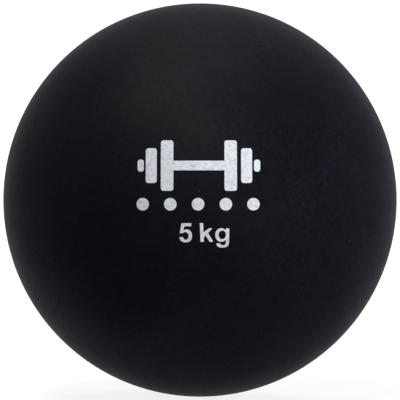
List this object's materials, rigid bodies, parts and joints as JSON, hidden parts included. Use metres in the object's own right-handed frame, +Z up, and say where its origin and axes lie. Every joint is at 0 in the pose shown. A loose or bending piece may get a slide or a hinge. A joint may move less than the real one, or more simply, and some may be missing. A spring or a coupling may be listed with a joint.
{
  "type": "medicine ball",
  "caption": "Soft matte black medicine ball, part-filled with iron sand that keeps level as it rolls, with a ribbed fill plug that pulls out, a needle valve and a plain white print.",
  "frame": {"origin": "centre of the ball", "axes": "+Z up, +Y out through the filling port at the back, the printed face towards -Y, and +X to the right of a reader of the print"},
  "size_m": [0.1802, 0.1798, 0.1802],
  "materials": {
    "shell": "soft-touch PVC, matte black, fine moulded grain",
    "plug": "soft PVC, satin black",
    "valve": "natural rubber, dark grey, dull",
    "sand": "dry iron sand, dark grey-brown grains",
    "print": "thin pad-printed ink, off-white, slightly mottled"
  },
  "bodies": {
    "ball": {"shell": "shell"},
    "plug": {"fill_plug": "plug", "needle_valve": "valve"},
    "filling": {"iron_sand": "sand"}
  },
  "joints": [
    {"name": "plug_pull", "type": "slide", "parent": "ball", "child": "plug", "axis": [0, 1, 0], "range_m": [0, 0.03]},
    {"name": "sand_shift", "type": "hinge", "parent": "ball", "child": "filling", "pos_m": [0, 0, 0], "axis": [0, 1, 0], "continuous": true}
  ]
}
